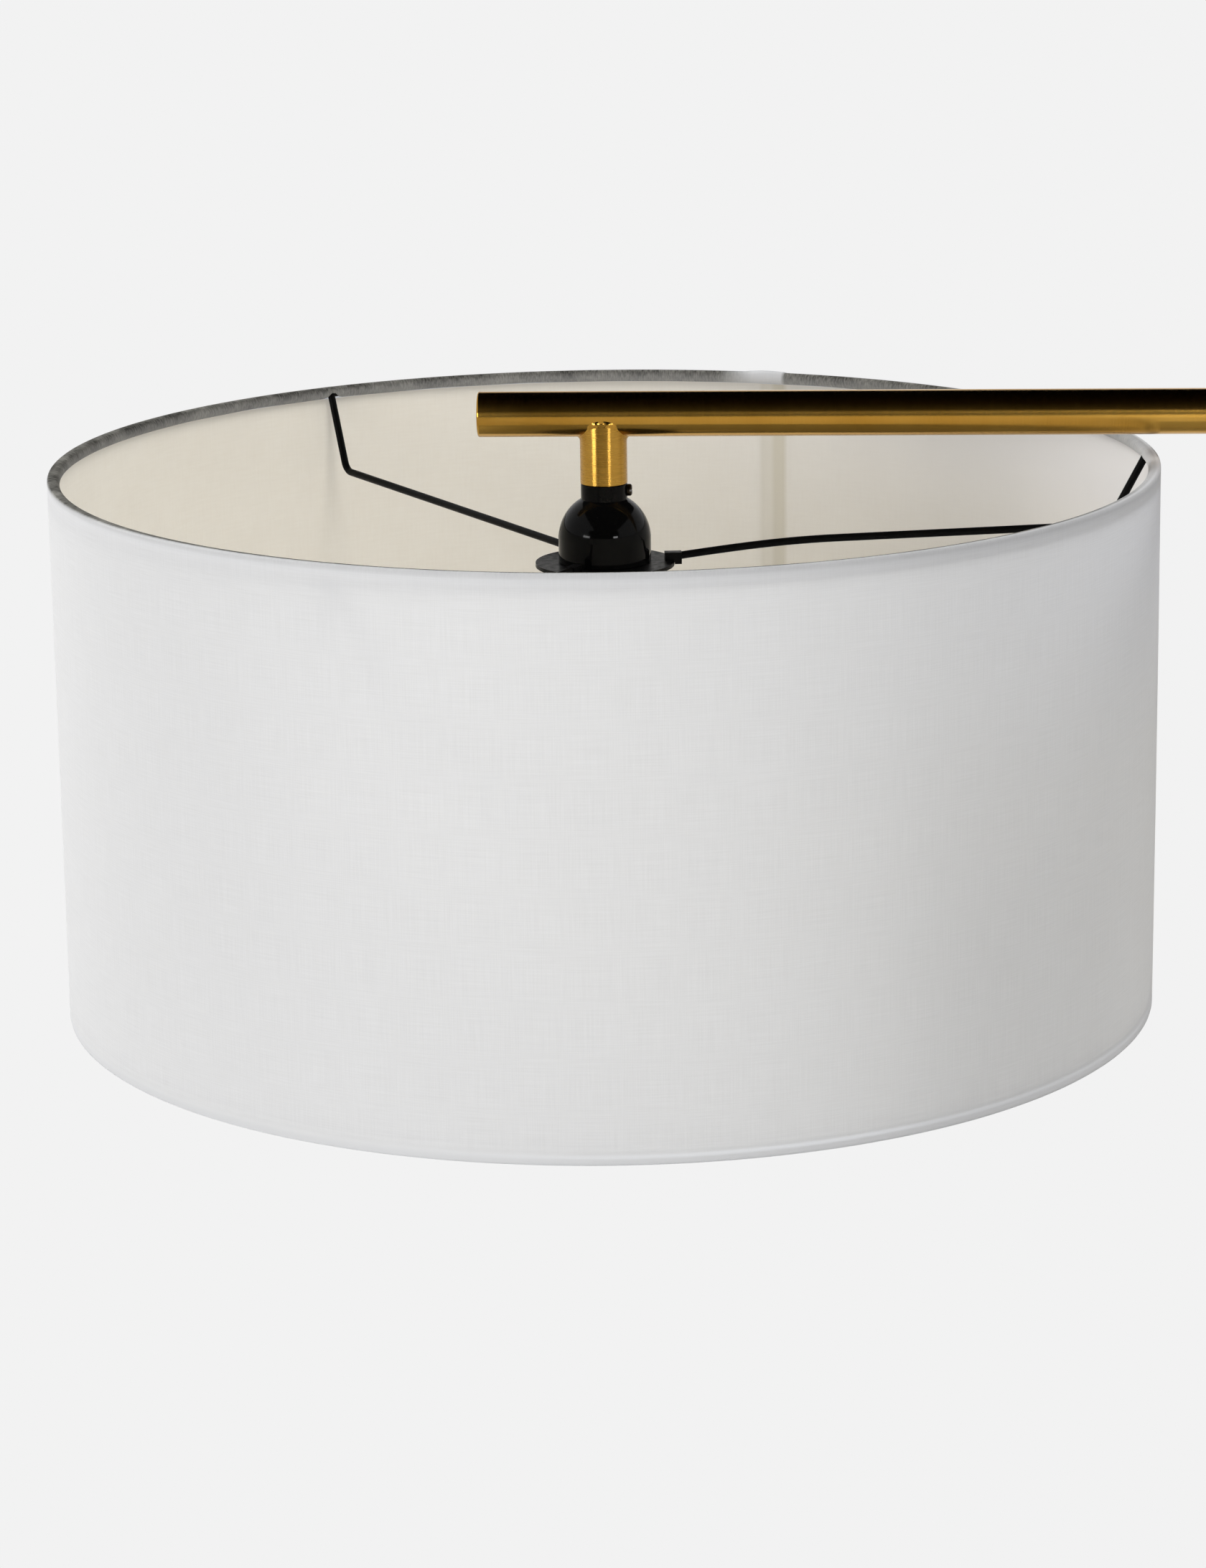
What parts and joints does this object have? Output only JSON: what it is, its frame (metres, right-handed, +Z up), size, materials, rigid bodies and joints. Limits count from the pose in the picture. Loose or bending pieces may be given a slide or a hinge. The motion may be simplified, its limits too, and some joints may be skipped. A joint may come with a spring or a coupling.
{
  "type": "arc floor lamp",
  "caption": "Floor lamp with a weighted round base and foot switch, a sectioned pole, a swivelling arc that levels into a straight arm, and a cloth drum shade on a hanging socket.",
  "frame": {"origin": "on the floor under the pole's axis, centre of the foot pad's underside", "axes": "+Z up along the pole, the arm reaching along -X to the shade, +Y the far side in the picture"},
  "size_m": [1.152, 0.46, 1.7095],
  "materials": {
    "antique_brass": "brushed and darkened, clear lacquer",
    "black_phenolic": "moulded, glossy",
    "switch_button": "moulded, satin",
    "black_enamel": "satin black",
    "linen_cloth": "fine plain weave",
    "styrene_liner": "matt sheet",
    "cast_iron": "as cast",
    "felt": "dark felt",
    "zinc_steel": "zinc plated",
    "bronzed_screw": "dark bronzed",
    "acetal": "moulded",
    "porcelain": "unglazed",
    "contact_brass": "bare",
    "bulb_cap": "rolled thread",
    "opal_glass": "opal",
    "black_rubber": "moulded",
    "lead_jacket": "smooth sheath"
  },
  "bodies": {
    "stand": {"foot_pad": "felt", "base_weight": "cast_iron", "base_cover": "antique_brass", "cord_gland": "black_rubber", "switch_body": "black_phenolic", "switch_bezel": "antique_brass", "switch_spring": "zinc_steel", "flange_screws": "zinc_steel", "pole_flange": "antique_brass", "pole_grub_screw": "zinc_steel", "lower_pole": "antique_brass", "pole_joiner": "antique_brass", "upper_pole": "antique_brass", "swivel_bush": "acetal", "swivel_collar": "antique_brass", "swivel_screw": "antique_brass", "lower_lead": "lead_jacket"},
    "arm": {"arc_tube": "antique_brass", "arm_joiner": "zinc_steel", "arm_tube": "antique_brass", "arm_end_cap": "antique_brass", "drop_stem": "antique_brass", "stem_plug": "zinc_steel", "stem_nipple": "zinc_steel", "socket_cap": "black_phenolic", "socket_lock_screw": "bronzed_screw", "socket_body": "black_phenolic", "contact_block": "porcelain", "terminal_screws": "contact_brass", "screw_shell": "contact_brass", "centre_contact": "contact_brass", "bulb_cap": "bulb_cap", "bulb_globe": "opal_glass", "shade_nut": "black_phenolic", "upper_lead": "lead_jacket"},
    "shade": {"shade_skin": "linen_cloth", "shade_liner": "styrene_liner", "top_ring": "black_enamel", "bottom_ring": "black_enamel", "fitter_ring": "black_enamel", "fitter_arms": "black_enamel"},
    "foot_button": {"switch_button": "switch_button"}
  },
  "joints": [
    {"name": "arm_swivel", "type": "hinge", "parent": "stand", "child": "arm", "pos_m": [0, 0, 1.3], "axis": [0, 0, 1], "range_deg": [-170, 170]},
    {"name": "shade_turn", "type": "hinge", "parent": "arm", "child": "shade", "pos_m": [-0.76, 0, 1.6377], "axis": [0, 0, 1], "continuous": true},
    {"name": "foot_press", "type": "slide", "parent": "stand", "child": "foot_button", "axis": [0, 0, -1], "range_m": [0, 0.004], "stiffness_N_per_m": 2000, "springref_m": -0.002, "deforming": ["switch_spring"]}
  ]
}
